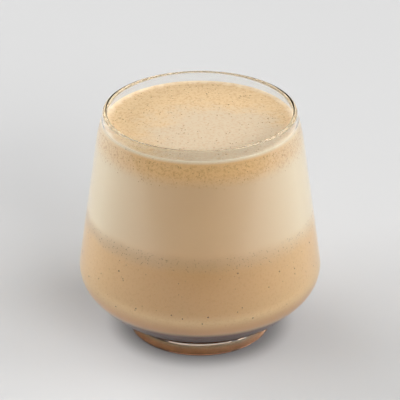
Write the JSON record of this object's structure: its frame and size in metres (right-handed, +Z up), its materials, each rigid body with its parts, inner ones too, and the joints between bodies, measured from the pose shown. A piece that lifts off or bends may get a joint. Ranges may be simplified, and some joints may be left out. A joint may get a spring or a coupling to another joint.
{
  "type": "raf coffee",
  "caption": "Creamy whipped coffee drink with a flat fine-bubbled foam top, in a low clear tapered tumbler with a thick base and a short foot.",
  "frame": {"origin": "centre of the underside of the foot, on the surface that the glass stands on", "axes": "+Z up along the axis that the glass is turned about; +X and +Y are level, and any direction round the glass is like any other"},
  "size_m": [0.0904, 0.0904, 0.088],
  "materials": {
    "clear_glass": "clear, smooth and shiny, with a rounded lip and a thick base",
    "coffee": "milky tan coffee seen through glass, with fine dark specks",
    "cream": "smooth pale cream and coffee seen through glass",
    "foam": "matt, fine-bubbled foam with a golden edge and a paler middle"
  },
  "bodies": {
    "root": {"glass": "clear_glass", "coffee": "coffee", "cream": "cream", "foam": "foam"}
  },
  "joints": []
}
